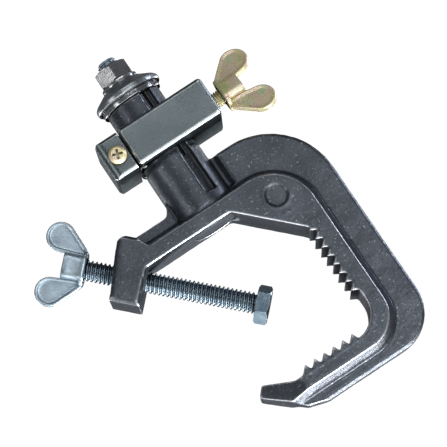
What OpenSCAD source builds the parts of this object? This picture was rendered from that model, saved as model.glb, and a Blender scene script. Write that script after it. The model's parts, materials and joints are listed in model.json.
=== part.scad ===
// Hook clamp with a 45 degree jaw screw, a panning spindle and a locking collar.
// Origin: the tip of the fixture stud. +Z runs up the stem to the hook, -X is the hook's back.
// Heights in the jaw, hook, collar and washer values are measured from the stem's end face.

/* [Stem and spindle] */
// Outer diameter of the hollow stem
stem_d = 28; // [27:0.5:29]
// Diameter of the spindle's journal
spindle_d = 16; // [15:0.5:16.5]
// Wall of the split bush between spindle and stem
bush_wall = 2; // [1.5:0.25:2.25]
// Height of the shoulder that the spindle's flange pulls against
shoulder_z = 50; // [48:1:52]
// Diameter of the spindle's flange
flange_d = 21; // [20.5:0.5:21.5]
// Diameter of the threaded stud that holds the fixture
stud_d = 10; // [10:2:12]
// How far the stud stands out below the stem
stud_len = 24; // [23:1:28]
// Length of full thread left free at the stud's tip, below the nut
stud_free = 3.6; // [3:0.2:3.8]

/* [Jaw] */
// Width of the toothed panel along the pipe
panel_w = 30; // [26:1:34]
// Thickness of the central web of the hook
web_w = 11; // [9:1:13]
// Height of the root of the upper teeth, which rest on the pipe
floor_z = 152; // [148:1:156]
// Distance from the stem's axis back to the root of the side teeth
wall_x = 37; // [36:0.5:38]
// Height of the flat underside of the base arm
arm_z = 70.9; // [70:0.5:72]
// Pitch of the upper teeth
upper_pitch = 5.1; // [4.8:0.1:5.2]
// Pitch of the side teeth
side_pitch = 4.8; // [4.6:0.1:4.9]
// Depth of the teeth
tooth_h = 3.6; // [2.5:0.1:4]

/* [Hook outline] */
// Distance from the stem's axis to the hook's back
back_x = 60.7; // [58:0.5:63]
// Height of the hook's top
top_z = 167.2; // [165:0.5:170]
// Height at which the web starts beside the stem
web_z = 42.5; // [41:0.5:44]
// Outer corner radius next to the stem
lower_r = 35; // [30:1:38]
// Outer corner radius at the top of the hook
upper_r = 20.5; // [18:0.5:23]
// Width of the sloping flank between the panel and the web
flank_w = 3; // [2:0.5:3.5]

/* [Clamp screw] */
// Distance from the origin at which the screw's axis crosses X and Z
screw_axis = 57.8; // [57.4:0.2:58]
// Diameter of the clamp screw
screw_d = 10; // [8:1:11]
// Length of the boss along the screw
boss_len = 14.6; // [14:0.2:16]
// Width of the boss across the screw
boss_w = 27.5; // [25:0.5:29]
// Across-flats size of the hexagonal pressure pad
pad_af = 16; // [16:0.5:19]
// Thickness of the pressure pad
pad_t = 6.4; // [5:0.2:8]
// Distance from the boss's inner face to the pad at rest
pad_gap = 51.5; // [40:0.5:54]
// Distance from the boss's outer face to the wing at rest
wing_gap = 14.5; // [8:0.5:16]

/* [Collar] */
// Height of the collar on the stem
collar_h = 19.8; // [18:0.2:21]
// Distance from the stem's end to the collar
collar_z = 10.6; // [10:0.2:12]
// Depth of the collar block along Y
block_w = 40; // [38:0.5:42]
// Reach of the collar block behind the stem's axis
block_back = 30.8; // [28:0.2:33]
// Reach of the block in front of the stem's axis, up to the split
split_x = 15.1; // [15:0.1:16]
// Width of the split between block and cheek
split_w = 0.7; // [0.5:0.1:1]
// Reach of the cheek in front of the stem's axis
cheek_x = 27.8; // [26:0.2:28.4]
// Depth of the cheek along Y
cheek_w = 37.4; // [36:0.2:37.8]
// Distance from the stem's axis to the cheek screw
cheek_screw_x = 20.6; // [20:0.1:21]
// Diameter of the cheek screw's shank
cheek_screw_d = 4; // [3:0.5:4.5]
// Diameter of the cheek screw's head
cheek_head_d = 8.6; // [7:0.2:9]

/* [Lock screw] */
// Diameter of the lock screw
lock_d = 8; // [6:1:8]
// Distance from the stem's axis to the lock wing at rest
lock_wing_x = 36.4; // [35:0.2:38]
// Play between the brake pad and the stem at rest
brake_play = 0.5; // [0.4:0.1:0.8]

/* [Wings] */
// Distance from a wing's axis to the centre of each lobe
lobe_out = 13.2; // [12.4:0.2:14]
// Distance from a wing's base to the centre of each lobe
lobe_back = 14.4; // [13.6:0.2:15]
// Radius of the lobes
lobe_r = 7; // [6:0.2:7.4]
// Thickness of the lobes
lobe_t = 2.4; // [2:0.2:3]
// Width of a wing's base
foot_w = 17.6; // [16:0.4:19]
// Length of a wing's hub
hub_len = 10.8; // [10:0.2:12]
// Turn of the lock wing about its own axis at rest
lock_wing_turn = 25; // [0:5:40]

/* [Washers and nut] */
// Diameter of the seat washer
seat_washer_d = 30.6; // [28:0.2:32]
// Thickness of the seat washer
seat_washer_t = 2.5; // [2:0.1:3]
// Diameter of the dished washer
dished_d = 34; // [32:0.5:36]
// Height of the dished washer's rim
rim_t = 4; // [3:0.2:5]
// Height of the whole dished washer
dished_t = 7.9; // [7:0.1:8.5]
// Diameter of the spring washer
spring_d = 18.5; // [17:0.5:20]
// Thickness of the spring washer
spring_t = 1.8; // [1.5:0.1:2.5]
// Across-flats size of the nut
nut_af = 16; // [16:0.5:18]
// Height of the nut
nut_h = 8; // [7:0.1:8.5]

/* [Hidden] */

$fn = 64;
run_gap = 0.05;
eps = 0.01;
over = 1;
arc_steps = 10;

cast_grey = [0.29, 0.32, 0.35];
block_grey = [0.40, 0.45, 0.47];
zinc = [0.68, 0.74, 0.80];
yellow_zinc = [0.78, 0.66, 0.38];
steel = [0.72, 0.73, 0.74];
bronze = [0.70, 0.52, 0.28];
nylon = [0.88, 0.86, 0.80];

stem_r = stem_d / 2;
spindle_r = spindle_d / 2;
bush_r = spindle_r + bush_wall;
bush_top = 36;
cup_gap = 0.5;
cup_r = flange_d / 2 + cup_gap;
thrust_t = 1.5;
flange_t = 5;
flange_edge = 0.6;
ring_play = 2;
journal_z = 0.3;
tip_edge = 0.4;
thrust_gap = 0.15;
ring_t = 1.2;
ring_z = shoulder_z + thrust_t + flange_t + ring_play;
ring_lip = 0.7;
ring_w = 2;
plug_t = 3;
plug_recess = 0.2;
plug_edge = 0.4;

neck_r = stem_r + 0.7;
neck_z = collar_z + collar_h + 2;
neck_top = 62;
neck_flare = 1.5;
valley_x = 17;
valley_w = 5;
valley_depth = 2.5;
flute_turn = 30;
flute_w = 6.4;
flute_depth = 2.2;
flute_top = 57;
slit_w = 1.6;

half_panel = panel_w / 2;
half_web = web_w / 2;
flank_x = 47.2;
flank_bottom = 60.2;
flank_top = 161.7;
flank_lower_r = 25;
flank_upper_r = 19;
flank_end = 42;
neck_side = 15.5;
neck_front = 10;
rim_z = 54.8;
rim_rear = 17;
rim_front = 41;
rim_edge_r = 3;
elbow = [44, 58];
arm_end = 39;
mouth = 31;
ramp_start = 8;
ramp_r = 2;
side_tooth_z = 98.2;
side_teeth = 8;
upper_tooth_x = 22.7;
upper_teeth = 6;
side_lean = 0.6;
upper_lean = 0.3;
corner_r = 14;
lip_root = [10.5, floor_z];
lip_tip = [24.4, 144.8];
lip_end = [28.6, 149.5];
lip_heel = [11.4, top_z - 3];
lip_root_r = 4;
lip_tip_r = 1;
lip_end_r = 1.5;
lip_tip_w = 18;
taper_start = 8;
web_end = 1.7;
mark_x = 30.1;
mark_z = 76;
mark_r = 6;
mark_depth = 0.8;

boss_u = 9;
boss_end = boss_u + boss_len;
boss_rise = 1.6;
boss_edge_r = 2;
screw_r = screw_d / 2;
pad_u = boss_end + pad_gap;
wing_u = boss_u - wing_gap;
pivot_r = 3;
pivot_len = 4;
screw_tail = 10;
screw_edge = 0.7;

collar_top = collar_z + collar_h;
collar_mid = collar_z + collar_h / 2;
groove_depth = 0.5;
collar_gap = 0.1;
collar_r = stem_r - groove_depth + run_gap;
tongue_y = 16;
tongue_t = 4;
tongue_h = 8;
tongue_reach = 24.4;
lock_r = lock_d / 2;
brake_r = lock_r - 0.6;
brake_t = 3;
brake_x = stem_r - groove_depth + brake_play;
lock_pivot_r = 1.5;
lock_pivot_len = 1.5;
lock_tail = 9;
cheek_land_w = 16;
cheek_corner_r = 4.5;
tongue_gap = 0.1;
screw_hole_gap = 0.1;

rim_r = 1;
sheet_edge = 0.2;
hub_edge = 0.4;
foot_t = 1.6;
wing_pin_r = 1;
wing_pin_short = 0.3;
lock_hub_r = 5.2;
lock_pin_back = 5;
clamp_hub_r = 6.2;
clamp_pin_back = 6;

spring_z = -(seat_washer_t + dished_t);
nut_z = spring_z - spring_t;
washer_hole_r = stud_d / 2 + 0.4;
stud_relief = 0.25;
flat_gap = 0.02;

// A unit vector along v
function unit(v) = v / norm(v);

// The arc that rounds corner b, between neighbours a and c, with radius r
function corner(a, b, c, r) =
    r == 0 ? [b] :
    let (
        u = unit(a - b),
        w = unit(c - b),
        half = acos(u * w) / 2,
        centre = b + unit(u + w) * r / sin(half),
        from = b + u * r / tan(half) - centre,
        to = b + w * r / tan(half) - centre,
        start = atan2(from.y, from.x),
        sweep = atan2(from.x * to.y - from.y * to.x, from * to)
    )
    [for (i = [0 : arc_steps]) let (a = start + sweep * i / arc_steps) centre + r * [cos(a), sin(a)]];

// An outline whose corners are given as [x, z, radius]
function rounded(p) = [
    for (i = [0 : len(p) - 1])
        let (a = p[(i + len(p) - 1) % len(p)], b = p[i], c = p[(i + 1) % len(p)])
        each corner([a.x, a.y], [b.x, b.y], [c.x, c.y], b.z)
];

// A plate in the XZ plane, centred on Y
module plate(points, width) {
    rotate([90, 0, 0]) linear_extrude(height = width, center = true) polygon(points);
}

// Puts the stem's end face above the stud, whose tip is the origin
module seated() {
    translate([0, 0, stud_len]) children();
}

// Turns children on to the clamp screw's axis: +Z along the screw, into the jaw
module screw_frame(u = 0) {
    translate([screw_axis, 0, screw_axis]) rotate([0, -45, 0]) translate([0, 0, u]) children();
}

// Places a finished piece on the clamp screw's axis
module on_screw(u) {
    seated() screw_frame(u) children();
}

// Turns children on to the lock screw's axis: +Z along the screw, towards the stem
module lock_frame(x) {
    translate([-x, 0, collar_mid]) rotate([0, 90, 0]) children();
}

// Places a finished piece on the lock screw's axis
module on_lock(x) {
    seated() lock_frame(x) children();
}

// A ring or a washer standing on z
module ring(outer_r, inner_r, z, h) {
    difference() {
        translate([0, 0, z]) cylinder(r = outer_r, h = h);
        translate([0, 0, z - over]) cylinder(r = inner_r, h = h + 2 * over);
    }
}

// A shaft with a chamfer at each end
module chamfered(r, h, c) {
    cylinder(r1 = r - c, r2 = r, h = c);
    translate([0, 0, c]) cylinder(r = r, h = h - 2 * c);
    translate([0, 0, h - c]) cylinder(r1 = r, r2 = r - c, h = c);
}

// A hexagon with chamfered corners, across-flats size af
module hexagon(af, h) {
    across = af / cos(30);
    intersection() {
        cylinder(d = across, h = h, $fn = 6);
        union() {
            cylinder(d1 = af, d2 = across + eps, h = h / 8);
            translate([0, 0, h / 8]) cylinder(d = across + eps, h = h * 3 / 4);
            translate([0, 0, h * 7 / 8]) cylinder(d1 = across + eps, d2 = af, h = h / 8);
        }
    }
}

// The jaw's outline, from the lip's heel round to the end of the base arm's underside
jaw_outline = [
    [lip_heel.x, lip_heel.y, 0],
    [lip_end.x, lip_end.y, lip_end_r],
    [lip_tip.x, lip_tip.y, lip_tip_r],
    [lip_root.x, lip_root.y, lip_root_r],
    [-wall_x, floor_z, corner_r],
    [-wall_x, arm_z + wall_x - ramp_start, 0],
    [-ramp_start, arm_z, ramp_r],
    [arm_end, arm_z, 0]
];

// The silhouette of the hook, from the stem round to the lip and back along the jaw
hook_outline = rounded(concat(
    [
        [-neck_side, web_z, 0],
        [-back_x, web_z, lower_r],
        [-back_x, top_z, upper_r],
        [web_end, top_z, 0]
    ],
    jaw_outline,
    [
        [elbow.x, elbow.y, 0],
        [rim_front, rim_z, rim_edge_r],
        [rim_rear, rim_z, rim_edge_r],
        [neck_front, web_z, 0]
    ]
));

// The space inside the jaw and in front of it, which cuts the panel
jaw_space = rounded(concat(
    [[arm_end + mouth, top_z + over, 0], [lip_heel.x, top_z + over, 0]],
    jaw_outline,
    [[arm_end + mouth, arm_z + mouth, 0]]
));

// One flank of the panel, from the web out to its face
module panel_side() {
    hull() {
        plate(rounded(flank_outline(0)), 2 * half_web);
        plate(rounded(flank_outline(flank_w)), 2 * half_panel);
    }
}

// The panel's outline, drawn in by an inset
function flank_outline(inset) = [
    [flank_end, flank_bottom + inset, 0],
    [-flank_x + inset, flank_bottom + inset, flank_lower_r - inset],
    [-flank_x + inset, flank_top - inset, flank_upper_r - inset],
    [flank_end, flank_top - inset, 0]
];

// A row of teeth on one axis: lean says where in a pitch the tip stands
function tooth_row(count, pitch, lean) = concat(
    [[0, -over]],
    [for (i = [0 : count - 1]) each [[i * pitch, 0], [(i + lean) * pitch, tooth_h]]],
    [[count * pitch, 0], [count * pitch, -over]]
);

module upper_tooth_row() {
    translate([-upper_tooth_x - upper_lean * upper_pitch, 0, floor_z]) mirror([0, 0, 1])
        plate(tooth_row(upper_teeth, upper_pitch, upper_lean), panel_w);
}

module side_tooth_row() {
    translate([-wall_x, 0, side_tooth_z - side_lean * side_pitch]) rotate([0, -90, 0]) mirror([0, 0, 1])
        plate(tooth_row(side_teeth, side_pitch, side_lean), panel_w);
}

// The slab that carries the clamp screw, a little longer on the side of the base arm
module screw_boss() {
    screw_frame() translate([-boss_rise / 2, 0, 0]) rotate([0, 0, 90]) plate(rounded([
        [-half_panel, boss_u, boss_edge_r],
        [half_panel, boss_u, boss_edge_r],
        [half_panel, boss_end, boss_edge_r],
        [-half_panel, boss_end, boss_edge_r]
    ]), boss_w + boss_rise);
}

// The stem's steps, the neck and the groove that keeps the collar at its height
module stem_body() {
    cylinder(r = stem_r, h = collar_z - collar_gap);
    cylinder(r = stem_r - groove_depth, h = neck_z);
    translate([0, 0, collar_top + collar_gap]) cylinder(r = stem_r, h = neck_top - collar_top);
    translate([0, 0, neck_z]) cylinder(r1 = stem_r, r2 = neck_r, h = neck_flare);
    translate([0, 0, neck_z + neck_flare]) cylinder(r = neck_r, h = neck_top - neck_z - neck_flare);
}

// The flute and slit that let the stem close on the bush
module stem_slit() {
    rotate([0, 0, -90 - flute_turn]) {
        translate([stem_r - flute_depth, -flute_w / 2, -over])
            cube([flute_depth + over, flute_w, flute_top + over]);
        translate([0, -slit_w / 2, -over]) cube([stem_r, slit_w, bush_top + over]);
    }
}

// The stepped bore that carries the spindle
module spindle_bore() {
    translate([0, 0, -over]) cylinder(r = bush_r + eps, h = bush_top + over);
    cylinder(r = spindle_r + run_gap, h = shoulder_z + over);
    translate([0, 0, shoulder_z]) cylinder(r = cup_r, h = arm_z);
    translate([0, 0, ring_z]) cylinder(r = cup_r + ring_lip, h = ring_t + 2 * run_gap);
}

// The web, with a valley on each side where it meets the neck
module web() {
    difference() {
        plate(hook_outline, web_w);
        for (side = [-1, 1])
            translate([valley_w / 2 - valley_x, side * half_web, web_z - over])
                cube([valley_w, 2 * valley_depth, 2 * (flank_bottom - web_z)], center = true);
    }
}

module hook_casting() {
    color(cast_grey) seated() difference() {
        union() {
            web();
            difference() {
                panel_side();
                plate(jaw_space, panel_w + 2 * over);
                lip_taper();
            }
            upper_tooth_row();
            side_tooth_row();
            screw_boss();
            stem_body();
        }
        stem_slit();
        spindle_bore();
        screw_frame(boss_u - over) cylinder(r = screw_r + run_gap, h = boss_len + 2 * over);
        translate([-mark_x, -half_panel + mark_depth, mark_z]) rotate([90, 0, 0])
            cylinder(r = mark_r, h = mark_depth + over);
    }
}

// Wedges that narrow the lip towards its tip
module lip_taper() {
    for (side = [-1, 1]) scale([1, side, 1])
        translate([0, 0, floor_z - panel_w / 2]) linear_extrude(height = panel_w + flank_w)
            polygon([
                [taper_start, half_panel],
                [lip_end.x + over, lip_tip_w / 2],
                [lip_end.x + over, panel_w],
                [taper_start, panel_w]
            ]);
}

module spindle_bush() {
    inset = 0.5;
    color(bronze) seated() difference() {
        ring(bush_r, spindle_r + run_gap, inset, bush_top - 2 * inset);
        rotate([0, 0, -90 - flute_turn]) translate([0, -slit_w / 2, 0]) cube([stem_r, slit_w, bush_top]);
    }
}

module spindle_retaining_ring() {
    color(steel) seated() difference() {
        ring(cup_r + ring_lip - run_gap, cup_r - ring_w, ring_z + run_gap, ring_t);
        translate([0, -cup_r / 3, ring_z - over]) cube([2 * cup_r, cup_r * 2 / 3, ring_t + 2 * over]);
    }
}

// The plug that closes the spindle's bore in the underside of the base arm
module bore_plug() {
    color(cast_grey) seated() translate([0, 0, arm_z - plug_recess - plug_t])
        chamfered(cup_r - eps, plug_t, plug_edge);
}

module spindle_thrust_washer() {
    color(nylon) seated()
        ring(flange_d / 2, spindle_r + thrust_gap, shoulder_z + flat_gap, thrust_t - 2 * flat_gap);
}

// Stud, journal and flange. The stud is eased where the nut and washers hold it, and full at its tip
module spindle() {
    color(steel) {
        cylinder(r1 = stud_d / 2 - tip_edge, r2 = stud_d / 2, h = tip_edge);
        translate([0, 0, tip_edge]) cylinder(r = stud_d / 2, h = stud_free - tip_edge);
        cylinder(r = stud_d / 2 - stud_relief, h = stud_len + journal_z + over);
        seated() {
            translate([0, 0, journal_z]) cylinder(r = spindle_r, h = shoulder_z + thrust_t - journal_z);
            translate([0, 0, shoulder_z + thrust_t]) chamfered(flange_d / 2, flange_t, flange_edge);
        }
    }
}

module seat_washer() {
    color(steel) seated() ring(seat_washer_d / 2, washer_hole_r, -seat_washer_t, seat_washer_t - flat_gap);
}

// A dished washer, rim against the seat washer, with an even wall
module dished_washer() {
    r = dished_d / 2;
    crown_r = 8.5;
    wall = 1.6;
    rim_w = 2.2;
    foot_edge = 0.7;
    brim_edge = 1.2;
    color(steel) seated() translate([0, 0, -seat_washer_t - flat_gap]) mirror([0, 0, 1])
        rotate_extrude() polygon([
            [washer_hole_r, dished_t - wall],
            [crown_r, dished_t - wall],
            [r - rim_w, rim_t - wall],
            [r - rim_w, 0],
            [r - foot_edge, 0],
            [r, foot_edge],
            [r, rim_t - brim_edge],
            [r - brim_edge, rim_t],
            [crown_r + wall / 2, dished_t],
            [washer_hole_r, dished_t]
        ]);
}

// A split ring
module spring_washer() {
    split_turn = 40;
    split_gap = 1;
    color(steel) seated() difference() {
        ring(spring_d / 2, washer_hole_r, nut_z + flat_gap, spring_t - 3 * flat_gap);
        rotate([0, 0, split_turn]) translate([0, -split_gap / 2, nut_z - over])
            cube([spring_d, split_gap, spring_t + 2 * over]);
    }
}

module spindle_nut() {
    nut_turn = 33;
    color(steel) seated() translate([0, 0, nut_z - nut_h]) difference() {
        rotate([0, 0, nut_turn]) hexagon(nut_af, nut_h);
        translate([0, 0, -over]) cylinder(r = stud_d / 2 + run_gap, h = nut_h + 2 * over);
    }
}

// The U-shaped block: bore, open front, tongues for the cheek and tapped hole for the lock screw
module clamp_block() {
    length = block_back + split_x - split_w / 2;
    color(block_grey) seated() difference() {
        union() {
            translate([-block_back, -block_w / 2, collar_z]) cube([length, block_w, collar_h]);
            for (side = [-1, 1])
                translate([0, side * tongue_y - tongue_t / 2, collar_mid - tongue_h / 2])
                    cube([tongue_reach, tongue_t, tongue_h]);
        }
        translate([0, 0, collar_z - over]) cylinder(r = collar_r, h = collar_h + 2 * over);
        translate([0, -collar_r, collar_z - over]) cube([split_x, 2 * collar_r, collar_h + 2 * over]);
        lock_frame(block_back + over) cylinder(r = lock_r + run_gap, h = block_back);
        translate([cheek_screw_x, block_w / 2, collar_mid]) rotate([90, 0, 0])
            cylinder(r = cheek_screw_d / 2 + screw_hole_gap, h = block_w);
    }
}

// The cheek that closes the block round the stem
module block_cheek() {
    length = cheek_x - split_x - split_w / 2;
    land_x = 10;
    skin = 2;
    color(block_grey) seated() difference() {
        union() {
            translate([cheek_x - length, 0, collar_z]) linear_extrude(height = collar_h) polygon(rounded([
                [0, -cheek_w / 2, 0],
                [length, -cheek_w / 2, cheek_corner_r],
                [length, cheek_w / 2, cheek_corner_r],
                [0, cheek_w / 2, 0]
            ]));
            translate([land_x, -cheek_land_w / 2, collar_z])
                cube([split_x + over - land_x, cheek_land_w, collar_h]);
        }
        translate([0, 0, collar_z - over]) cylinder(r = collar_r, h = collar_h + 2 * over);
        for (side = [-1, 1])
            translate([
                split_x - over,
                side * tongue_y - tongue_t / 2 - tongue_gap,
                collar_mid - tongue_h / 2 - tongue_gap
            ]) cube([
                tongue_reach - split_x + over + 2 * tongue_gap,
                tongue_t + 2 * tongue_gap,
                tongue_h + 2 * tongue_gap
            ]);
        translate([cheek_screw_x, cheek_w / 2 - skin, collar_mid]) rotate([90, 0, 0])
            cylinder(r = cheek_screw_d / 2 + screw_hole_gap, h = cheek_w);
    }
}

// A pan-head screw with a cross recess, through the cheek and both tongues
module cheek_screw() {
    head_t = 2.8;
    head_top = 0.7 * cheek_head_d;
    shank = cheek_w - 2.5;
    arm = 0.58 * cheek_head_d;
    arm_w = 1.2;
    arm_depth = 1.6;
    arm_turn = 20;
    color(yellow_zinc) seated() translate([cheek_screw_x, -cheek_w / 2, collar_mid]) rotate([-90, 0, 0]) {
        translate([0, 0, -head_t / 4]) cylinder(r = cheek_screw_d / 2, h = shank + head_t / 4);
        difference() {
            translate([0, 0, -head_t]) {
                cylinder(d1 = head_top, d2 = cheek_head_d, h = head_t / 2);
                translate([0, 0, head_t / 2]) cylinder(d = cheek_head_d, h = head_t / 2 - eps);
            }
            for (turn = [0, 90]) rotate([0, 0, turn + arm_turn])
                translate([-arm / 2, -arm_w / 2, -head_t - over]) cube([arm, arm_w, arm_depth + over]);
        }
    }
}

module brake_pad() {
    color(bronze) on_lock(brake_x + brake_t) difference() {
        cylinder(r = brake_r, h = brake_t);
        translate([0, 0, -over])
            cylinder(r = lock_pivot_r + screw_hole_gap, h = over + lock_pivot_len + screw_hole_gap);
    }
}

module lock_screw() {
    shank_x = brake_x + brake_t + flat_gap;
    length = lock_wing_x + lock_tail - shank_x;
    color(yellow_zinc) on_lock(lock_wing_x + lock_tail) difference() {
        union() {
            chamfered(lock_r, length, screw_edge);
            translate([0, 0, length - over]) cylinder(r = lock_pivot_r, h = over + lock_pivot_len);
        }
        translate([0, 0, lock_tail - lock_pin_back]) rotate([0, 0, lock_wing_turn]) wing_pin_hole(lock_r);
    }
}

// A cross hole for a wing pin, through a screw or a hub of radius r
module wing_pin_hole(r) {
    rotate([0, 90, 0]) cylinder(r = wing_pin_r + eps, h = 2 * r + 2 * over, center = true);
}

// One edge disc of a lobe's sheet, at the given distances out and back
module lobe_disc(out, back, r) {
    for (side = [-1, 1])
        translate([out, side * (lobe_t - 2 * sheet_edge) / 2, -back]) rotate([90, 0, 0])
            cylinder(r = r, h = sheet_edge, center = true, $fn = 32);
}

// A pressed wing: base plane at 0, hub and lobes behind it; the bore takes the screw and a cross pin
module wing(bore_r, hub_r, pin_back) {
    difference() {
        union() {
            translate([0, 0, -hub_len]) cylinder(r = hub_r, h = hub_len);
            for (side = [-1, 1]) scale([side, 1, 1]) hull() {
                lobe_disc(lobe_out, lobe_back, lobe_r);
                lobe_disc(foot_w / 2 - rim_r, rim_r, rim_r);
                lobe_disc(hub_r - 1.5 * hub_edge, hub_len - rim_r, hub_edge);
            }
            translate([0, 0, -foot_t]) intersection() {
                cylinder(r = foot_w / 2, h = foot_t);
                translate([-foot_w, -hub_r, 0]) cube([2 * foot_w, 2 * hub_r, foot_t]);
            }
        }
        translate([0, 0, -hub_len - over]) cylinder(r = bore_r, h = hub_len + 2 * over);
        translate([0, 0, -pin_back]) wing_pin_hole(hub_r);
    }
}

// The pin that holds a wing on its screw
module wing_pin(hub_r) {
    rotate([0, 90, 0]) cylinder(r = wing_pin_r, h = 2 * (hub_r - wing_pin_short), center = true);
}

module lock_wing() {
    color(yellow_zinc) on_lock(lock_wing_x) rotate([0, 0, lock_wing_turn])
        wing(lock_r + run_gap, lock_hub_r, lock_pin_back);
}

module lock_wing_pin() {
    color(steel) on_lock(lock_wing_x + lock_pin_back) rotate([0, 0, lock_wing_turn]) wing_pin(lock_hub_r);
}

module pressure_pad() {
    color(zinc) on_screw(pad_u) difference() {
        hexagon(pad_af, pad_t);
        translate([0, 0, -over]) cylinder(r = pivot_r + run_gap, h = over + pivot_len + screw_hole_gap);
    }
}

module clamp_screw() {
    length = pad_u - flat_gap - wing_u + screw_tail;
    color(zinc) on_screw(wing_u - screw_tail) difference() {
        union() {
            chamfered(screw_r, length, screw_edge);
            translate([0, 0, length - over]) cylinder(r = pivot_r, h = over + pivot_len);
        }
        translate([0, 0, screw_tail - clamp_pin_back]) wing_pin_hole(screw_r);
    }
}

module clamp_wing() {
    color(zinc) on_screw(wing_u) wing(screw_r + run_gap, clamp_hub_r, clamp_pin_back);
}

module clamp_wing_pin() {
    color(steel) on_screw(wing_u - clamp_pin_back) wing_pin(clamp_hub_r);
}

hook_casting();
spindle_bush();
spindle_retaining_ring();
bore_plug();
spindle_thrust_washer();
spindle();
seat_washer();
dished_washer();
spring_washer();
spindle_nut();
clamp_block();
block_cheek();
cheek_screw();
brake_pad();
lock_screw();
lock_wing();
lock_wing_pin();
pressure_pad();
clamp_screw();
clamp_wing();
clamp_wing_pin();
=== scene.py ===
"""Looks of the hook clamp: cast hook, threads, pressed wings, plated fasteners, all in the CAD's frame."""
import json
import math

import bmesh
import bpy
import numpy as np
from mathutils import Matrix, Vector, noise


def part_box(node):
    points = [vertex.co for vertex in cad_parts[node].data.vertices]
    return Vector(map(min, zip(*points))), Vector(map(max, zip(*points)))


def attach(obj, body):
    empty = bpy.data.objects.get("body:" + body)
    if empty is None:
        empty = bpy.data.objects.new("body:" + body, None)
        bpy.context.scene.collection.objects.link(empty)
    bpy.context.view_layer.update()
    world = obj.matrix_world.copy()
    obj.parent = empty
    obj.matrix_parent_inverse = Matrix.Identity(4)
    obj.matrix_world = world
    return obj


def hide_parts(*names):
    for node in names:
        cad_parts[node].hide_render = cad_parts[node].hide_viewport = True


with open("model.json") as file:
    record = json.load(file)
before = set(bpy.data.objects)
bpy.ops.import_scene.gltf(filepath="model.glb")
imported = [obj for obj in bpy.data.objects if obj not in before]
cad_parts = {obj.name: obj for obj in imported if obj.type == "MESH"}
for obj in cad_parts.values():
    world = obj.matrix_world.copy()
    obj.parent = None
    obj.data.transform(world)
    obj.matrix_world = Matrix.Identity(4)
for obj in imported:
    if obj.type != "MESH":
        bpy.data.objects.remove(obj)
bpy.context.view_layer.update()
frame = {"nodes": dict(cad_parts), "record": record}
nodes = frame["nodes"]
MM = 0.001


def in_mm(values):
    return [round(v / MM, 3) for v in values]


def box_of(node):
    """The two corners of a CAD node's box, in millimetres."""
    low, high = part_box(node)
    return in_mm(low), in_mm(high)


# Places the CAD fixes, in millimetres; the hook's own heights are measured from the stem's end face
pivots = {j["name"]: in_mm(j["pos_m"]) for j in frame["record"]["behaviour"]["joints"] if j.get("pos_m")}
hook_low, hook_high = box_of("hook_casting")
SCREW_AT, LOCK_AT = Vector(pivots["clamp_turn"]), Vector(pivots["lock_turn"])
STEM_END, TOP_Z = hook_low[2], hook_high[2]
BACK_X, HALF_PANEL = -hook_low[0], hook_high[1]
STEM_R = 14

# The clamp screw's axis, and the direction across it in the hook's plane
ALONG = np.array([-1, 0, 1]) / math.sqrt(2)
ACROSS = np.array([1, 0, 1]) / math.sqrt(2)


# ---------------------------------------------------------------- meshes
def make(name, verts, faces, smooth=True):
    mesh = bpy.data.meshes.new(name)
    mesh.from_pydata([tuple(v) for v in verts], [], [tuple(f) for f in faces])
    mesh.update()
    obj = bpy.data.objects.new(name, mesh)
    bpy.context.scene.collection.objects.link(obj)
    if smooth:
        mesh.shade_smooth()
    return obj


def outward(obj):
    """Turns every face outwards."""
    bm = bmesh.new()
    bm.from_mesh(obj.data)
    bmesh.ops.recalc_face_normals(bm, faces=bm.faces)
    bm.to_mesh(obj.data)
    bm.free()


def loops_mesh(name, rings, matrix, close_rings=False):
    """Skins closed rings of equal length: capped at both ends, or joined back to the first ring."""
    n, count = len(rings[0]), len(rings)
    verts = [matrix @ Vector(p) * MM for ring in rings for p in ring]
    faces = []
    for i in range(count if close_rings else count - 1):
        a, b = i * n, ((i + 1) % count) * n
        for k in range(n):
            m = (k + 1) % n
            faces.append((a + k, a + m, b + m, b + k))
    if not close_rings:
        faces.append(tuple(reversed(range(n))))
        faces.append(tuple((count - 1) * n + k for k in range(n)))
    obj = make(name, verts, faces)
    outward(obj)
    return obj


def join(name, parts):
    """One object from several."""
    verts, faces = [], []
    for p in parts:
        base = len(verts)
        verts += [v.co.copy() for v in p.data.vertices]
        faces += [tuple(base + i for i in f.vertices) for f in p.data.polygons]
        bpy.data.objects.remove(p)
    return make(name, verts, faces)


def soften(obj, width, segments):
    """Rounds the hard edges of a piece with modifiers, so its own mesh stays as it is."""
    weld = obj.modifiers.new("weld", "WELD")
    weld.merge_threshold = 0.002 * MM
    bevel = obj.modifiers.new("round", "BEVEL")
    bevel.width = width * MM
    bevel.segments = segments
    bevel.limit_method = "ANGLE"
    bevel.angle_limit = math.radians(32)
    bevel.use_clamp_overlap = True
    obj.data.shade_smooth()
    normals = obj.modifiers.new("normals", "WEIGHTED_NORMAL")
    normals.keep_sharp = True
    normals.weight = 80


def basis(origin, x, z):
    """A frame from an origin and two axes, in millimetres."""
    x, z = Vector(x).normalized(), Vector(z).normalized()
    m = Matrix((x, z.cross(x), z)).transposed().to_4x4()
    m.translation = Vector(origin)
    return m


def screw_frame(u):
    """The clamp screw's frame, its origin u along the axis."""
    return basis(SCREW_AT + Vector(ALONG) * u, ACROSS, ALONG)


# The lock screw's frame, its origin on the wing's foot
lock_frame = basis(LOCK_AT, (0, 0, -1), (1, 0, 0))


def circle(r, z, around):
    turns = [2 * math.pi * k / around for k in range(around)]
    return [(r * math.cos(t), r * math.sin(t), z) for t in turns]


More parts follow.
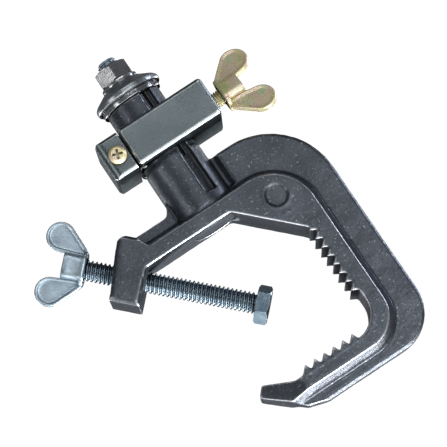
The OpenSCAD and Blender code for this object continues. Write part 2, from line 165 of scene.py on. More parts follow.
def thread(name, radius, depth, pitch, start, end, matrix, crest, around=56):
    """A right-handed screw thread along +Z of the matrix, faded out at both ends.

    crest is the flat share of the pitch. The whole thread stays a hair inside the radius."""
    rows_a_turn, run_out, chamfer = 12, 1.2, 0.9
    rows = int((end - start) / pitch * rows_a_turn)
    rings = []
    for i in range(rows + 1):
        z = start + (end - start) * i / rows
        from_end = min(z - start, end - z)
        height = min(1.0, from_end / run_out + 0.15)
        cut = max(0.0, chamfer - from_end) * 0.55
        ring = []
        for k in range(around):
            turn = 2 * math.pi * k / around
            phase = abs((z / pitch - k / around) % 1.0 - 0.5) * 2
            h = min(1.0, max(0.0, (phase - (1 - crest) * 0.25) / (1 - crest)))
            h = h * h * (3 - 2 * h)
            r = radius - 0.02 - depth * (1 - h * height) - cut * h
            ring.append((r * math.cos(turn), r * math.sin(turn), z))
        rings.append(ring)
    return loops_mesh(name, rings, matrix)


def lathe(name, profile, matrix, round_r, around):
    """Revolves a closed [radius, z] profile, with its corners rounded, about Z."""
    return loops_mesh(name, [circle(r, z, around) for r, z in fillet(profile, round_r)], matrix, True)


def fillet(points, r, steps=5):
    """Rounds each corner of a closed 2D outline."""
    out = []
    n = len(points)
    for i in range(n):
        a, b, c = (Vector(points[(i + d) % n]) for d in (-1, 0, 1))
        u, w = (a - b), (c - b)
        cut = min(r, u.length * 0.45, w.length * 0.45)
        p, q = b + u.normalized() * cut, b + w.normalized() * cut
        for k in range(steps + 1):
            t = k / steps
            out.append(tuple(p * (1 - t) ** 2 + b * 2 * t * (1 - t) + q * t * t))
    return out


# ---------------------------------------------------------------- wings
# Both wings are measured from their foot's outer face, with the ears reaching back from it
LOBE_OUT, LOBE_BACK, LOBE_R = 13.2, 14.4, 7
FOOT_REACH, FOOT_T, HUB_LEN = 8.8, 2.0, 10.8
# Section of a pressed ear: (distance in from its edge, share of its half thickness)
EAR_SECTION = [(0.0, 0.55), (0.1, 0.80), (0.3, 0.95), (0.6, 1.0), (1.0, 0.97), (1.35, 0.84), (1.7, 0.68),
               (2.1, 0.62), (2.6, 0.60), (3.8, 0.62), (5.2, 0.66), (6.6, 0.68)]


def hull_reach(circles, centre, direction, inset):
    """Distance from the centre to the inset edge of the circles' hull, along a direction."""
    best = math.inf
    for nx, ny, _ in circle(1, 0, 180):
        edge = max(x * nx + y * ny + r for x, y, r in circles) - inset
        dot = nx * direction[0] + ny * direction[1]
        if dot > 1e-4:
            best = min(best, (edge - nx * centre[0] - ny * centre[1]) / dot)
    return best


def ear(name, side, hub_r, matrix, half_t):
    """One pressed ear: a pan inside a rolled rim, folded out beside the hub."""
    lobe, foot = (LOBE_OUT, -LOBE_BACK, LOBE_R), (FOOT_REACH - 1, -1, 1)
    hub_end, hub_root = (hub_r + 0.3, -HUB_LEN + 0.9, 0.6), (hub_r - 0.1, -1.2, 0.6)
    outline = [lobe, foot, hub_end, hub_root]
    ways = [(x, y) for x, y, _ in circle(1, 0, 84)]
    reach = {inset: [hull_reach(outline, lobe, way, inset) for way in ways] for inset, _ in EAR_SECTION}
    rings = []
    for face, section in ((1, EAR_SECTION[::-1]), (-1, EAR_SECTION)):
        for inset, share in section:
            rings.append([(side * (lobe[0] + x * far), face * half_t * share, lobe[1] + y * far)
                          for (x, y), far in zip(ways, reach[inset])])
    return loops_mesh(name, rings, matrix)


def oblong(half_x, half_y, z, power=4.5, around=96):
    """A ring of points on a rounded rectangle; power 2 is an ellipse."""
    pts = []
    for c, s, _ in circle(1, 0, around):
        r = (abs(c / half_x) ** power + abs(s / half_y) ** power) ** (-1 / power)
        pts.append((r * c, r * s, z))
    return pts


def hub(name, half, bore, matrix):
    """The folded channel between the ears, open at both ends and slightly waisted."""
    end = -HUB_LEN
    side = [(-0.5, end), (-0.15, end + 0.12), (0, end + 0.5), (-0.15, end * 0.72), (-0.3, end * 0.5),
            (-0.15, end * 0.3), (0, -2.2), (0.2, -1.5), (0.3, 0)]
    rings = [oblong(half + 0.35 + grow, half + grow, z) for grow, z in side]
    rings += [oblong(bore, bore, 0, 2), oblong(bore, bore, end + 0.35, 2)]
    rings.append(oblong(half - 0.55, half - 0.55, end + 0.02, 3))
    return loops_mesh(name, rings, matrix, True)


def foot_plate(name, half_x, half_y, bore, matrix):
    """The folded base between the two ears."""
    end = -FOOT_T
    side = [(-0.5, end), (-0.15, end + 0.12), (0, end + 0.5), (0, -0.5), (-0.15, -0.12), (-0.5, 0)]
    rings = [oblong(half_x + grow, half_y + grow, z, 4) for grow, z in side]
    rings += [oblong(bore, bore, 0, 2), oblong(bore, bore, end, 2)]
    return loops_mesh(name, rings, matrix, True)


def wing(name, matrix, hub_r, bore, half_t):
    """A pressed wing: two ears, the hub between them and the foot that joins them."""
    return join(name, [
        ear(name + "_a", 1, hub_r, matrix, half_t),
        ear(name + "_b", -1, hub_r, matrix, half_t),
        hub(name + "_h", hub_r * 0.96, bore, matrix),
        foot_plate(name + "_f", 8.2, hub_r * 0.92, bore, matrix),
    ])


# ---------------------------------------------------------------- skins
def evaluated(obj):
    bpy.context.view_layer.update()
    graph = bpy.context.evaluated_depsgraph_get()
    return bpy.data.meshes.new_from_object(obj.evaluated_get(graph))


def remeshed(obj, voxel):
    m = obj.modifiers.new("skin", "REMESH")
    m.mode = "VOXEL"
    m.voxel_size = voxel * MM
    m.adaptivity = 0
    mesh = evaluated(obj)
    obj.modifiers.clear()
    obj.data = mesh


def coords(mesh):
    co = np.zeros(len(mesh.vertices) * 3)
    mesh.vertices.foreach_get("co", co)
    return co.reshape(-1, 3) / MM


def put(mesh, co):
    mesh.vertices.foreach_set("co", (co * MM).ravel())
    mesh.update()


def normals_of(mesh):
    n = np.zeros(len(mesh.vertices) * 3)
    mesh.vertex_normals.foreach_get("vector", n)
    return n.reshape(-1, 3)


def neighbours(mesh):
    """A function that averages each vertex's neighbours."""
    ends = np.zeros(len(mesh.edges) * 2, np.int64)
    mesh.edges.foreach_get("vertices", ends)
    a, b = ends.reshape(-1, 2).T
    size = len(mesh.vertices)
    count = np.bincount(a, minlength=size) + np.bincount(b, minlength=size)

    def average(p):
        total = [np.bincount(a, p[b, k], size) + np.bincount(b, p[a, k], size) for k in range(p.shape[1])]
        return np.stack(total, 1) / count[:, None]
    return average


def relax(mesh, co, weight, rounds):
    """Evens the surface out: in and out steps that keep its size, then a few inward ones."""
    average = neighbours(mesh)
    inward, outward_step, last_step, last = 0.5, -0.32, 0.4, 4
    for i in range(rounds):
        step = last_step if i >= rounds - last else (inward if i % 2 == 0 else outward_step)
        co = co + (weight * step)[:, None] * (average(co) - co)
    return co


def mark_edges(mesh, co):
    """Stores how far each vertex stands out of its surroundings: above 0 on edges, below 0 in hollows."""
    average = neighbours(mesh)
    soft = co
    for _ in range(9):
        soft = soft + 0.5 * (average(soft) - soft)
    out = np.einsum("ij,ij->i", co - soft, normals_of(mesh))[:, None]
    for _ in range(2):
        out = (out + average(out)) * 0.5
    mesh.attributes.new("edge", "FLOAT", "POINT").data.foreach_set("value", out[:, 0].astype(np.float32))


def unevenness(co):
    """Slow and quick swells of a cast face, in millimetres."""
    swells = ((0.16, 0.10), (0.55, 0.045), (1.5, 0.022))
    return np.array([sum(noise.noise(Vector(p) * scale) * size for scale, size in swells) for p in co])


def skin(node, voxel, shape, weigh, rounds, grit):
    """A cast skin over a CAD node: evened out, shaped, edges rounded and roughened."""
    obj = bpy.data.objects.new(node + "_skin", nodes[node].data.copy())
    bpy.context.scene.collection.objects.link(obj)
    voxel = voxel
    remeshed(obj, voxel)
    put(obj.data, shape(coords(obj.data)))
    remeshed(obj, voxel)
    co = coords(obj.data)
    mark_edges(obj.data, co)
    weight = weigh(co)
    co = relax(obj.data, co, weight, rounds)
    put(obj.data, co)
    rough = (unevenness(co) - 0.08) * grit * np.clip(weight, 0, 1)
    put(obj.data, co + normals_of(obj.data) * rough[:, None])
    obj.data.shade_smooth()
    return obj


def between(v, lo, hi):
    return (v > lo) & (v < hi)


def limited(y, half, where):
    """Pulls both sides in to a half width, where a mask says so."""
    return np.where(where, np.sign(y) * np.minimum(np.abs(y), half), y)


# ---------------------------------------------------------------- the hook
HALF_WEB = 5.5
# The web's outline: where it starts beside the stem, its two outer corners and where it ends in the lip
WEB_Z = 42.5 + STEM_END
LOWER_R, UPPER_R = 35.0, 20.5
WEB_START, NECK_SIDE, WEB_END = -17.0, -15.5, 1.7
# The round ejector mark on the panel, and the dash beside it
MARK_X, MARK_Z = -30.1, 76 + STEM_END
DASH_X, DASH_Z = -29.6, 85.3 + STEM_END
DASH_ACROSS, DASH_ALONG = 0.83, 0.55
# The screw boss: along the screw from BOSS_LO to BOSS_HI, and across it, with the rise beyond the arm
BOSS_LO, BOSS_HI, BOSS_HALF, BOSS_RISE = 8.3, 23.6, 13.75, 1.6


def arc_corner(a, b, c, r, steps=16):
    """The arc that rounds corner b, between neighbours a and c."""
    a, b, c = Vector(a), Vector(b), Vector(c)
    u, w = (a - b).normalized(), (c - b).normalized()
    half = u.angle(w) / 2
    centre = b + (u + w).normalized() * r / math.sin(half)
    p, q = b + u * r / math.tan(half), b + w * r / math.tan(half)
    return [tuple(centre + (p.lerp(q, k / steps) - centre).normalized() * r) for k in range(steps + 1)]


def line_distance(points, line):
    """Distance of each (x, z) point to an open polyline."""
    best = np.full(len(points), np.inf)
    for a, b in zip(line[:-1], line[1:]):
        a, b = np.array(a), np.array(b)
        ab = b - a
        t = np.clip(((points - a) @ ab) / (ab @ ab), 0, 1)
        best = np.minimum(best, np.linalg.norm(points - (a + t[:, None] * ab), axis=1))
    return best


def boss_axes(co):
    """How far each vertex lies along and across the clamp screw."""
    rel = co - np.array(SCREW_AT)
    return rel @ ALONG, rel @ ACROSS


def chamfer_web(co):
    """Chamfers the web's outer edge, and thins its end beside the neck."""
    low_back, high_back = (-BACK_X, WEB_Z), (-BACK_X, TOP_Z)
    outline = [(WEB_START, WEB_Z)]
    outline += arc_corner((NECK_SIDE, WEB_Z), low_back, high_back, LOWER_R)
    outline += arc_corner(low_back, high_back, (WEB_END, TOP_Z), UPPER_R)
    outline.append((WEB_END, TOP_Z))
    away = line_distance(co[:, [0, 2]], outline)
    x, y, z = co.T
    edge = (away < 1.6) & (np.abs(y) < HALF_WEB + 0.3)
    y = limited(y, HALF_WEB - np.clip(1.4 - away, 0, 1.4), edge)
    end = between(x, -19.2, -16.5) & between(z, WEB_Z - 0.5, WEB_Z + 16.5)
    co[:, 1] = limited(y, HALF_WEB - np.clip(x + 19.0, 0, 2), end)


def press_mark(co):
    """Sinks the round mark, with a sloped wall and a slight lip, and raises a short dash beside it."""
    x, y, z = co.T
    away = np.hypot(x - MARK_X, z - MARK_Z)
    sunk = np.interp(away, [0, 4.7, 5.5, 6.0, 6.6, 7.3], [0.8, 0.8, 0.1, -0.22, -0.12, 0])
    run = (z - DASH_Z) * DASH_ALONG - (x - DASH_X) * DASH_ACROSS
    rise = (x - DASH_X) * DASH_ALONG + (z - DASH_Z) * DASH_ACROSS
    ends = np.clip(1 - np.maximum(np.abs(run) - 1.3, 0) / 0.5, 0, 1)
    dash = ends * np.clip(1.4 - np.abs(rise) / 0.6, 0, 1) * -0.35
    face = (y < 1.5 - HALF_PANEL) & (away < 12)
    y = np.where(face & (away >= 7.3) & (dash < 0), -HALF_PANEL + dash, y)
    co[:, 1] = np.where(face & (away < 7.3), -HALF_PANEL + sunk, y)


def shape_boss(co):
    """Chamfers the boss's long edges, raises it over the arm, leans it outwards and cuts its outer corner."""
    u, v = boss_axes(co)
    y = co[:, 1].copy()
    lo_v, hi_v = -BOSS_HALF - BOSS_RISE, BOSS_HALF
    in_boss = between(u, BOSS_LO + 0.2, BOSS_HI + 0.5) & between(v, lo_v - 0.5, hi_v + 0.5)
    inner = np.minimum(np.minimum(u - BOSS_LO, BOSS_HI - u), np.minimum(v - lo_v, hi_v - v))
    free = (u < 11.2) | (v > hi_v - 2.2) | ((v < lo_v + 2.2) & (u < 16)) | ((u > 21.4) & (v > 0))
    co[:, 1] = limited(y, HALF_PANEL - np.clip(1.5 - inner, 0, 1.5), in_boss & (np.abs(y) > 11) & free)
    rise = -2.2 * np.clip((-9 - v) / 4, 0, 1) * np.clip((21 - u) / 5, 0, 1)
    # a spot face round the screw keeps most of the lean off, so that the wing can seat
    lean = 2.2 * np.clip((10 - v) / 25, 0, 1)
    lean = np.where(np.hypot(v, y) < 11.5, np.minimum(lean, 0.6), lean)
    lean = -lean * np.clip((13 - u) / 4, 0, 1)
    cut = np.clip(3.2 - (u + lean - 6.8) - (v + rise - lo_v + 2.2), 0, 3) / 2
    du, dv = np.where(in_boss, lean + cut, 0), np.where(in_boss, rise + cut, 0)
    co += du[:, None] * ALONG + dv[:, None] * ACROSS


def hook_shape(co):
    chamfer_web(co)
    press_mark(co)
    shape_boss(co)
    return co


def hook_weights(co):
    """How freely each vertex may be evened out: least in bores and on teeth."""
    x, y, z = co.T
    up = z - STEM_END
    r = np.hypot(x, y)
    u, _ = boss_axes(co)
    from_screw = np.linalg.norm(co - np.array(SCREW_AT) - u[:, None] * ALONG, axis=1)
    upper_teeth = between(up, 147.6, 153.2) & between(x, -26, 9.5)
    side_teeth = between(up, 94, 135) & between(x, -38.6, -32.8)
    weight = np.ones(len(co))
    weight[upper_teeth | side_teeth] = 0.3
    weight[(r < 12.6) & (up < 64)] = 0.0
    weight[(r < STEM_R + 0.2) & (up < 31)] = 0.12
    weight[between(r, 11, STEM_R + 0.4) & between(up, 31, 58) & (y < -9)] = 0.8
    weight[(from_screw < 6.2) & (u < 26)] = 0.05
    near_mark = np.interp(np.hypot(x - MARK_X, z - MARK_Z), [9.5, 14], [0.15, 1])
    return np.where(y < 2 - HALF_PANEL, weight * near_mark, weight)


# ---------------------------------------------------------------- the collar
# How far the block's body reaches towards the cheek, and where the cheek starts
BLOCK_END, CHEEK_START = 14.75, 13.0
BLOCK_CHAMFER = 1.3


def chamfered_box(low, high, co):
    """Chamfers the twelve edges of a box, given its corners."""
    for i, j in ((0, 1), (1, 2), (0, 2)):
        a = np.minimum(co[:, i] - low[i], high[i] - co[:, i])
        b = np.minimum(co[:, j] - low[j], high[j] - co[:, j])
        cut = np.where((a > -0.4) & (b > -0.4), np.clip(BLOCK_CHAMFER - a - b, 0, BLOCK_CHAMFER) / 2, 0)
        for k in (i, j):
            co[:, k] += np.where(co[:, k] < (low[k] + high[k]) / 2, cut, -cut)
    return co


def block_shape(co):
    low, high = box_of("clamp_block")
    return chamfered_box(low, [BLOCK_END] + high[1:], co)


def cheek_shape(co):
    low, high = box_of("block_cheek")
    return chamfered_box([CHEEK_START] + low[1:], high, co)


def block_weights(co):
    """Keeps the stem's bore, the lock screw's hole and the tongue crisp."""
    x, y, z = co.T
    weight = np.ones(len(co))
    weight[np.hypot(x, y) < STEM_R + 0.2] = 0.1
    weight[np.hypot(y, z - LOCK_AT.z) < 5] = 0.1
    weight[(x > 15) & (np.abs(y) < 18.5)] = 0.15
    return weight


# ---------------------------------------------------------------- materials
# The near-black of painted shade in hollows and recesses
PAINTED_SHADE = (0.02, 0.022, 0.026)
MATERIALS = {}


def material(name):
    """A new material, kept under its name, with its tree and its shader."""
    m = bpy.data.materials.new(name)
    m.use_nodes = True
    MATERIALS[name] = m
    return m.node_tree, m.node_tree.nodes["Principled BSDF"]


def add(tree, kind, **values):
    n = tree.nodes.new(kind)
    for k, v in values.items():
        setattr(n, k, v)
    return n


def plug(tree, value, socket):
    """Links a socket, or sets a plain value."""
    if hasattr(value, "links"):
        tree.links.new(value, socket)
    elif isinstance(value, tuple):
        socket.default_value = (*value, 1)
    else:
        socket.default_value = value


def noise_at(tree, scale, detail=4.0, rough=0.55):
    n = add(tree, "ShaderNodeTexNoise")
    n.inputs["Scale"].default_value = scale
    n.inputs["Detail"].default_value = detail
    n.inputs["Roughness"].default_value = rough
    tree.links.new(add(tree, "ShaderNodeTexCoord").outputs["Object"], n.inputs["Vector"])
    return n.outputs["Fac"]


def ramp(tree, fac, stops):
    r = add(tree, "ShaderNodeValToRGB")
    elements = r.color_ramp.elements
    while len(elements) < len(stops):
        elements.new(0.5)
    for element, (pos, color) in zip(elements, stops):
        element.position = pos
        element.color = (*color, 1)
    tree.links.new(fac, r.inputs["Fac"])
    return r.outputs["Color"]


def spread(tree, fac, lo, hi, from_lo=0.3, from_hi=0.7):
    """Maps a range of a value onto lo to hi."""
    m = add(tree, "ShaderNodeMapRange")
    for key, v in (("From Min", from_lo), ("From Max", from_hi), ("To Min", lo), ("To Max", hi)):
        m.inputs[key].default_value = v
    tree.links.new(fac, m.inputs["Value"])
    return m.outputs["Result"]


def blend(tree, fac, a, b):
    """Mixes two colours."""
    m = add(tree, "ShaderNodeMix", data_type="RGBA")
    m.clamp_factor = True
    first, second = m.inputs[6], m.inputs[7]
    for value, socket in ((fac, m.inputs["Factor"]), (a, first), (b, second)):
        plug(tree, value, socket)
    return m.outputs[2]


def sums(tree, op, a, b):
    m = add(tree, "ShaderNodeMath", operation=op)
    plug(tree, a, m.inputs[0])
    plug(tree, b, m.inputs[1])
    return m.outputs[0]


def edges(tree):
    """White along rounded-over edges, used for painted edge highlights, from how far the bevelled normal
    leans from the true one.
    """
    bevel = add(tree, "ShaderNodeBevel", samples=4)
    bevel.inputs["Radius"].default_value = 0.35 * MM
    dot = add(tree, "ShaderNodeVectorMath", operation="DOT_PRODUCT")
    tree.links.new(bevel.outputs["Normal"], dot.inputs[0])
    tree.links.new(add(tree, "ShaderNodeNewGeometry").outputs["Normal"], dot.inputs[1])
    out = sums(tree, "MULTIPLY", sums(tree, "SUBTRACT", 1.0, dot.outputs["Value"]), 3.0)
    out.node.use_clamp = True
    return out


def crevices(tree, distance, lo=0.35, hi=0.85):
    """1 in crevices, 0 in the open: the mask for painted shade."""
    ao = add(tree, "ShaderNodeAmbientOcclusion", samples=6)
    ao.inputs["Distance"].default_value = distance * MM
    return spread(tree, ao.outputs["AO"], 1.0, 0.0, lo, hi)


def bumped(tree, shader, heights):
    """Chains (height socket, strength, distance in mm) bumps into the shader's normal."""
    last = None
    for h, strength, dist in heights:
        b = add(tree, "ShaderNodeBump")
        b.inputs["Strength"].default_value = strength
        b.inputs["Distance"].default_value = dist * MM
        tree.links.new(h, b.inputs["Height"])
        if last is not None:
            tree.links.new(last, b.inputs["Normal"])
        last = b.outputs["Normal"]
    tree.links.new(last, shader.inputs["Normal"])


def cast_metal(name, dark, light, polish_and_highlight, rough, grain, metallic=0.9, sharp=0.17, reach=5, depth=0.34):
    """Mottled metal with specks, bright edges and painted shade in hollows.

    sharp is how far out an edge stands where it is fully bright, partly worn metal and partly painted
    highlight.
    Recesses get painted shade to a depth, as far out as reach."""
    t, s = material(name)
    broad = noise_at(t, 55, 5)
    fine = noise_at(t, 1700, 3, 0.6)
    speck = noise_at(t, 950, 2, 0.5)
    base = ramp(t, broad, [(0.3, dark), (0.7, light)])
    base = blend(t, spread(t, speck, 0.0, 0.32 * grain, 0.62, 0.76), base, polish_and_highlight)
    pits = spread(t, noise_at(t, 820, 2), 0.0, 0.6 * grain, 0.62, 0.74)
    base = blend(t, pits, base, (0.03, 0.033, 0.038))
    edge = add(t, "ShaderNodeAttribute", attribute_name="edge").outputs["Fac"]
    worn_and_highlit = spread(t, edge, 0.0, 1.0, sharp * 0.4, sharp)
    worn_and_highlit = sums(t, "MULTIPLY", worn_and_highlit, spread(t, noise_at(t, 300, 4), 0.5, 1.0))
    # Painted highlight: edges standing out of the cast are painted near-white, partly worn metal and partly
    # the light they catch.
    base = blend(t, worn_and_highlit, base, polish_and_highlight)
    # Painted shade: hollows are darkened to the shade colour.
    base = blend(t, spread(t, edge, 0.75, 0.0, -0.16, -0.05), base, PAINTED_SHADE)
    # Painted shade in recesses from ambient occlusion, darkening the base colour, the specular level and its
    # tint.
    shut = crevices(t, reach, 0.4, 0.92)
    shade = sums(t, "MULTIPLY", shut, depth)
    t.links.new(blend(t, shade, base, PAINTED_SHADE), s.inputs["Base Color"])
    t.links.new(spread(t, shut, 1.0, 1.0 - depth, 0.0, 1.0), s.inputs["Specular IOR Level"])
    t.links.new(blend(t, shade, (1.0, 1.0, 1.0), (0.05, 0.05, 0.06)), s.inputs["Specular Tint"])
    s.inputs["Metallic"].default_value = metallic
    r = spread(t, fine, rough - 0.08, rough + 0.12)
    t.links.new(sums(t, "SUBTRACT", r, sums(t, "MULTIPLY", worn_and_highlit, 0.16)), s.inputs["Roughness"])
    bumped(t, s, [(broad, 0.25, 0.4), (speck, 0.45 * grain, 0.14), (fine, 0.6 * grain, 0.07)])


def plated(name, dark, light, rough, scratch, edge=(0.9, 0.92, 0.95), grime=(0.1, 0.11, 0.12)):
    """Plated steel with fine scratches, grime in patches, bright edges that are partly wear and partly
    painted highlight, and painted shade in crevices.
    """
    t, s = material(name)
    broad = noise_at(t, 140, 5)
    fine = noise_at(t, 900, 4, 0.6)
    base = ramp(t, broad, [(0.32, dark), (0.68, light)])
    dirt = spread(t, noise_at(t, 420, 6, 0.65), 0.0, 0.45, 0.60, 0.78)
    base = blend(t, dirt, base, grime)
    # Painted highlight: rounded-over edges are painted in the edge colour, partly wear and partly the light
    # they catch.
    base = blend(t, edges(t), base, edge)
    # Painted shade: crevices are darkened towards black.
    base = blend(t, sums(t, "MULTIPLY", crevices(t, 2.0), 0.8), base, (0.02, 0.022, 0.025))
    t.links.new(base, s.inputs["Base Color"])
    s.inputs["Metallic"].default_value = 0.95
    r = spread(t, fine, rough - 0.06, rough + 0.1)
    t.links.new(sums(t, "ADD", r, sums(t, "MULTIPLY", dirt, 0.3)), s.inputs["Roughness"])
    bumped(t, s, [(broad, 0.12, 0.3), (fine, scratch, 0.05)])


def yellow_plate(name):
    """Yellow passivated zinc, whose film drifts from green through gold to pink, with painted shade towards
    the outline and in crevices and painted highlights on its edges.
    """
    t, s = material(name)
    drift = noise_at(t, 130, 3, 0.5)
    patch = noise_at(t, 300, 4, 0.6)
    film = ramp(t, drift, [(0.30, (0.60, 0.70, 0.34)), (0.42, (0.90, 0.84, 0.46)), (0.52, (0.96, 0.74, 0.62)),
                           (0.60, (0.88, 0.90, 0.56)), (0.72, (0.60, 0.80, 0.58))])
    base = blend(t, spread(t, patch, 0.0, 0.5, 0.50, 0.70), film, (0.96, 0.70, 0.66))
    # Painted shade: the film turns a darker gold where the surface turns away from the view.
    facing = add(t, "ShaderNodeLayerWeight")
    facing.inputs["Blend"].default_value = 0.3
    base = blend(t, facing.outputs["Facing"], base, (0.55, 0.44, 0.10))
    # Painted highlight: rounded-over edges are painted pale gold.
    base = blend(t, sums(t, "MULTIPLY", edges(t), 0.8), base, (1.0, 0.90, 0.62))
    # Painted shade: crevices are darkened towards black.
    base = blend(t, sums(t, "MULTIPLY", crevices(t, 2.0), 0.85), base, (0.03, 0.015, 0.01))
    t.links.new(base, s.inputs["Base Color"])
    s.inputs["Metallic"].default_value = 0.42
    fine = noise_at(t, 1100, 4, 0.6)
    t.links.new(spread(t, fine, 0.2, 0.34), s.inputs["Roughness"])
    bumped(t, s, [(patch, 0.2, 0.3), (fine, 0.2, 0.04)])


def nylon(name):
    t, s = material(name)
    shade = ramp(t, noise_at(t, 200, 4), [(0.3, (0.66, 0.63, 0.55)), (0.7, (0.78, 0.76, 0.70))])
    t.links.new(shade, s.inputs["Base Color"])
    t.links.new(spread(t, noise_at(t, 900, 3), 0.38, 0.55), s.inputs["Roughness"])
    s.inputs["Subsurface Weight"].default_value = 0.08
    s.inputs["Subsurface Radius"].default_value = (MM, MM, MM)
    bumped(t, s, [(noise_at(t, 1400, 3), 0.3, 0.04)])


def dress(obj, look):
    obj.data.materials.clear()
    obj.data.materials.append(MATERIALS[look])


# The third colour is the near-white of specks, worn edges and painted edge highlights; reach and depth set
# the painted shade in recesses, which on the block reaches under the arm.
cast_metal("cast_alloy", dark=(0.064, 0.073, 0.088), light=(0.100, 0.113, 0.133), polish_and_highlight=(0.86, 0.89, 0.94),
           rough=0.37, grain=1.0)
cast_metal("block_alloy", dark=(0.150, 0.184, 0.197), light=(0.205, 0.240, 0.252), polish_and_highlight=(0.97, 0.99, 1.0),
           rough=0.32, grain=0.45, metallic=0.97, sharp=0.09, reach=24, depth=0.96)
# Each plating's edge colour is for its bright edges, partly wear and partly painted highlight.
plated("bright_zinc", dark=(0.37, 0.47, 0.56), light=(0.53, 0.64, 0.72), rough=0.34, scratch=0.35,
       grime=(0.22, 0.26, 0.30))
plated("dull_zinc", dark=(0.10, 0.15, 0.20), light=(0.24, 0.32, 0.38), rough=0.22, scratch=0.3,
       edge=(0.85, 0.92, 0.96), grime=(0.07, 0.09, 0.11))
plated("bright_zinc_washer", dark=(0.26, 0.29, 0.31), light=(0.42, 0.45, 0.48), rough=0.28, scratch=0.3)
plated("nickel_plate", dark=(0.40, 0.41, 0.43), light=(0.60, 0.62, 0.64), rough=0.16, scratch=0.15)
plated("bronze", dark=(0.17, 0.12, 0.08), light=(0.27, 0.19, 0.12), rough=0.42, scratch=0.3,
       edge=(0.55, 0.43, 0.28))
plated("spring_steel", dark=(0.12, 0.12, 0.125), light=(0.22, 0.22, 0.225), rough=0.32, scratch=0.3)
yellow_plate("yellow_zinc")
nylon("nylon")


# ---------------------------------------------------------------- pieces
def hang(obj, body, node, slot, look=None):
    """Puts a piece on its body in place of a CAD node, and dresses it in its look, or in its slot's material
    when it has no look.
    """
    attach(obj, body)
    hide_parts(node)
    dress(obj, look or slot)


for subpart in frame["record"]["subparts"]:
    dress(nodes[subpart["node"]], subpart["material_slot"])

for node, body, slot, voxel, shape, weigh, rounds, grit in (
    ("hook_casting", "hook", "cast_alloy", 0.42, hook_shape, hook_weights, 24, 1.0),
    ("clamp_block", "collar", "block_alloy", 0.3, block_shape, block_weights, 6, 0.12),
    ("block_cheek", "collar", "block_alloy", 0.3, cheek_shape, block_weights, 6, 0.12),
):
    hang(skin(node, voxel, shape, weigh, rounds, grit), body, node, slot)


def clamp_screw():
    """A coarse rolled thread from its tail to the pad, with the pivot inside the pad."""
    tail, pad, tip, pivot_r, axis_gap = -15.5, 74.6, 79.0, 3, 0.4
    pivot = [(axis_gap, pad), (pivot_r, pad), (pivot_r, tip), (axis_gap, tip)]
    return join("clamp_screw_thread", [
        thread("cs", 5.0, 0.95, 2.0, tail, pad + 0.46, screw_frame(0), crest=0.34),
        lathe("cp", pivot, screw_frame(0), 0.3, 48),
    ])


def lock_screw():
    """An M8 thread with a short pivot in the brake pad."""
    tail, pad, tip, pivot_r, axis_gap = -9.0, 19.0, 20.8, 1.5, 0.3
    pivot = [(axis_gap, pad), (pivot_r, pad), (pivot_r, tip), (axis_gap, tip)]
    return join("lock_screw_thread", [
        thread("ls", 4.0, 0.68, 1.25, tail, pad + 0.35, lock_frame, crest=0.3, around=48),
        lathe("lp", pivot, lock_frame, 0.2, 32),
    ])


def spindle():
    """Threaded stud, journal with an oil groove, and a flange with a turning centre in its top."""
    stem = basis((0, 0, STEM_END), (1, 0, 0), (0, 0, 1))
    axis_gap, journal_r, groove_r, flange_r = 0.5, 8, 7.6, 10.5
    journal, flange, top = 0.3, 51.5, 56.5
    profile = [(axis_gap, journal), (journal_r, journal), (journal_r, 17), (groove_r, 17.6), (groove_r, 18.6),
               (journal_r, 19.2), (journal_r, flange), (flange_r, flange), (flange_r, top), (3, top),
               (2.4, top - 2), (axis_gap, top - 2.3)]
    return join("spindle_turned", [
        thread("st", 4.98, 0.85, 1.5, 0.05 - STEM_END, journal + 0.3, stem, crest=0.25),
        lathe("sj", profile, stem, 0.35, 96),
    ])


hang(clamp_screw(), "clamp_handle", "clamp_screw", "bright_zinc", "dull_zinc")
dress(nodes["pressure_pad"], "dull_zinc")
hang(lock_screw(), "lock_handle", "lock_screw", "yellow_zinc")
hang(spindle(), "spindle_body", "spindle", "bright_zinc")

clamp_wing = wing("clamp_wing_pressed", screw_frame(-5.5), hub_r=6.2, bore=5.03, half_t=1.55)
hang(clamp_wing, "clamp_handle", "clamp_wing", "bright_zinc")
turned = lock_frame @ Matrix.Rotation(math.radians(25), 4, "Z")
lock_wing = wing("lock_wing_pressed", turned, hub_r=5.4, bore=4.03, half_t=1.4)
hang(lock_wing, "lock_handle", "lock_wing", "yellow_zinc")

# Small turned and pressed pieces keep the CAD's mesh and get (edge radius, segments)
for name, width, segments in (
    ("cheek_screw", 0.22, 3), ("spindle_nut", 0.35, 3), ("pressure_pad", 0.4, 3), ("seat_washer", 0.35, 3),
    ("dished_washer", 0.5, 4), ("spring_washer", 0.22, 2), ("brake_pad", 0.3, 2), ("lock_wing_pin", 0.2, 2),
    ("clamp_wing_pin", 0.2, 2), ("spindle_bush", 0.2, 2), ("spindle_retaining_ring", 0.2, 2),
    ("spindle_thrust_washer", 0.2, 2), ("bore_plug", 0.3, 2),
):
    soften(nodes[name], width, segments)


# ---------------------------------------------------------------- room
def floor_paper():
    """Pale paper, evened out towards white for the camera so that only soft shading shows."""
    t, s = material("floor_paper")
    tone = ramp(t, noise_at(t, 3, 2), [(0.2, (0.90, 0.90, 0.90)), (0.8, (0.93, 0.93, 0.93))])
    watched = add(t, "ShaderNodeLightPath").outputs["Is Camera Ray"]
    t.links.new(blend(t, watched, (0.03, 0.03, 0.032), tone), s.inputs["Base Color"])
    s.inputs["Roughness"].default_value = 0.9
    glow = add(t, "ShaderNodeEmission")
    glow.inputs["Strength"].default_value = 1.02
    mix = add(t, "ShaderNodeMixShader")
    t.links.new(sums(t, "MULTIPLY", watched, 0.86), mix.inputs[0])
    t.links.new(s.outputs[0], mix.inputs[1])
    t.links.new(glow.outputs[0], mix.inputs[2])
    t.links.new(mix.outputs[0], t.nodes["Material Output"].inputs["Surface"])


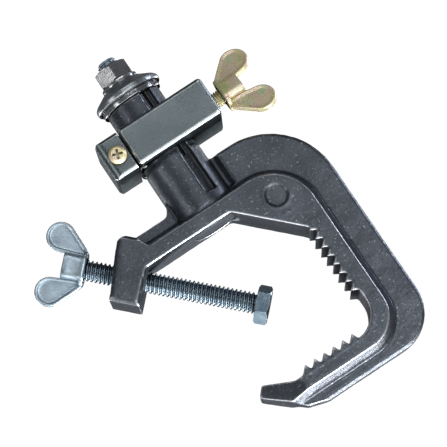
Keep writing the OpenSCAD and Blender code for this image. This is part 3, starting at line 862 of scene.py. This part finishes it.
def lay_floor():
    half, z = 9, -0.3
    corners = [(-half, -half, z), (half, -half, z), (half, half, z), (-half, half, z)]
    floor = make("floor", corners, [(0, 1, 2, 3)], smooth=False)
    floor_paper()
    dress(floor, "floor_paper")


def studio():
    """A dark room with a broad bright ceiling leaning to the side, as metal in a studio mirrors it."""
    world = bpy.data.worlds.new("studio")
    bpy.context.scene.world = world
    world.use_nodes = True
    t = world.node_tree
    background = t.nodes["Background"]
    ray = add(t, "ShaderNodeTexCoord").outputs["Generated"]
    lean = add(t, "ShaderNodeVectorMath", operation="DOT_PRODUCT")
    lean.inputs[1].default_value = Vector((0.30, 0.0, 0.95)).normalized()
    t.links.new(ray, lean.inputs[0])
    ceiling = spread(t, lean.outputs["Value"], 0.0, 2.2, 0.4, 0.97)
    ceiling.node.interpolation_type = "SMOOTHSTEP"
    split = add(t, "ShaderNodeSeparateXYZ")
    t.links.new(ray, split.inputs[0])
    glow = sums(t, "ADD", ceiling, spread(t, split.outputs["Y"], 0.2, 0.0, -0.5, 0.5))
    # the camera itself sees an even white backdrop
    level = add(t, "ShaderNodeMix", data_type="FLOAT")
    t.links.new(add(t, "ShaderNodeLightPath").outputs["Is Camera Ray"], level.inputs[0])
    t.links.new(glow, level.inputs[2])
    level.inputs[3].default_value = 1.3
    t.links.new(level.outputs[0], background.inputs["Strength"])
    background.inputs["Color"].default_value = (1, 1, 1, 1)


def softbox(name, place, size, power, color=(1, 1, 1), aim=(-0.005, 0, 0.1)):
    data = bpy.data.lights.new(name, "AREA")
    data.shape = "RECTANGLE"
    data.size, data.size_y = size
    data.energy = power
    data.color = color
    obj = bpy.data.objects.new(name, data)
    bpy.context.scene.collection.objects.link(obj)
    obj.location = place
    obj.rotation_euler = (Vector(aim) - Vector(place)).to_track_quat("-Z", "Y").to_euler()


def camera():
    """The photograph's angle: close to square on, a little from above, and rolled over."""
    azimuth, elevation, roll = math.radians(4.5), math.radians(9.37), math.radians(145.9)
    target, distance = Vector((-0.0036, 0.0003, 0.0951)), 1.28
    level = math.cos(elevation)
    back = Vector((math.sin(azimuth) * level, -math.cos(azimuth) * level, math.sin(elevation)))
    level_right = Vector((math.cos(azimuth), math.sin(azimuth), 0))
    right = level_right * math.cos(roll) + back.cross(level_right) * math.sin(roll)
    data = bpy.data.cameras.new("photo_angle")
    data.lens = 221.9
    data.sensor_width = 36
    data.clip_end = 50
    cam = bpy.data.objects.new("photo_angle", data)
    bpy.context.scene.collection.objects.link(cam)
    cam.matrix_world = Matrix((right, back.cross(right), back)).transposed().to_4x4()
    cam.location = target + back * distance
    bpy.context.scene.camera = cam


lay_floor()
studio()

softbox("key", (0.02, -0.2, 1.2), (0.6, 0.35), 14)
softbox("slope", (0.0, 0.66, 1.25), (0.8, 0.3), 20)
softbox("side", (1.1, -0.76, -0.03), (0.4, 0.45), 2.2, (1, 0.99, 0.97), aim=(0, 0, 0.01))
softbox("rim", (-1.3, 0.05, 0.1), (0.25, 0.6), 7, (0.80, 0.86, 1))
softbox("fill", (-0.3, -1.35, 0.35), (0.9, 0.7), 5, (0.96, 0.98, 1))
softbox("bounce", (-0.12, -0.55, -0.26), (0.5, 0.2), 0.8, aim=(-0.05, 0, 0.05))
softbox("behind_left", (-0.95, 0.9, 0.15), (0.4, 0.6), 5)
softbox("behind_right", (0.95, 0.9, 0.15), (0.4, 0.6), 5)

camera()
bpy.context.scene.view_settings.view_transform = "Standard"
bpy.context.scene.view_settings.look = "None"
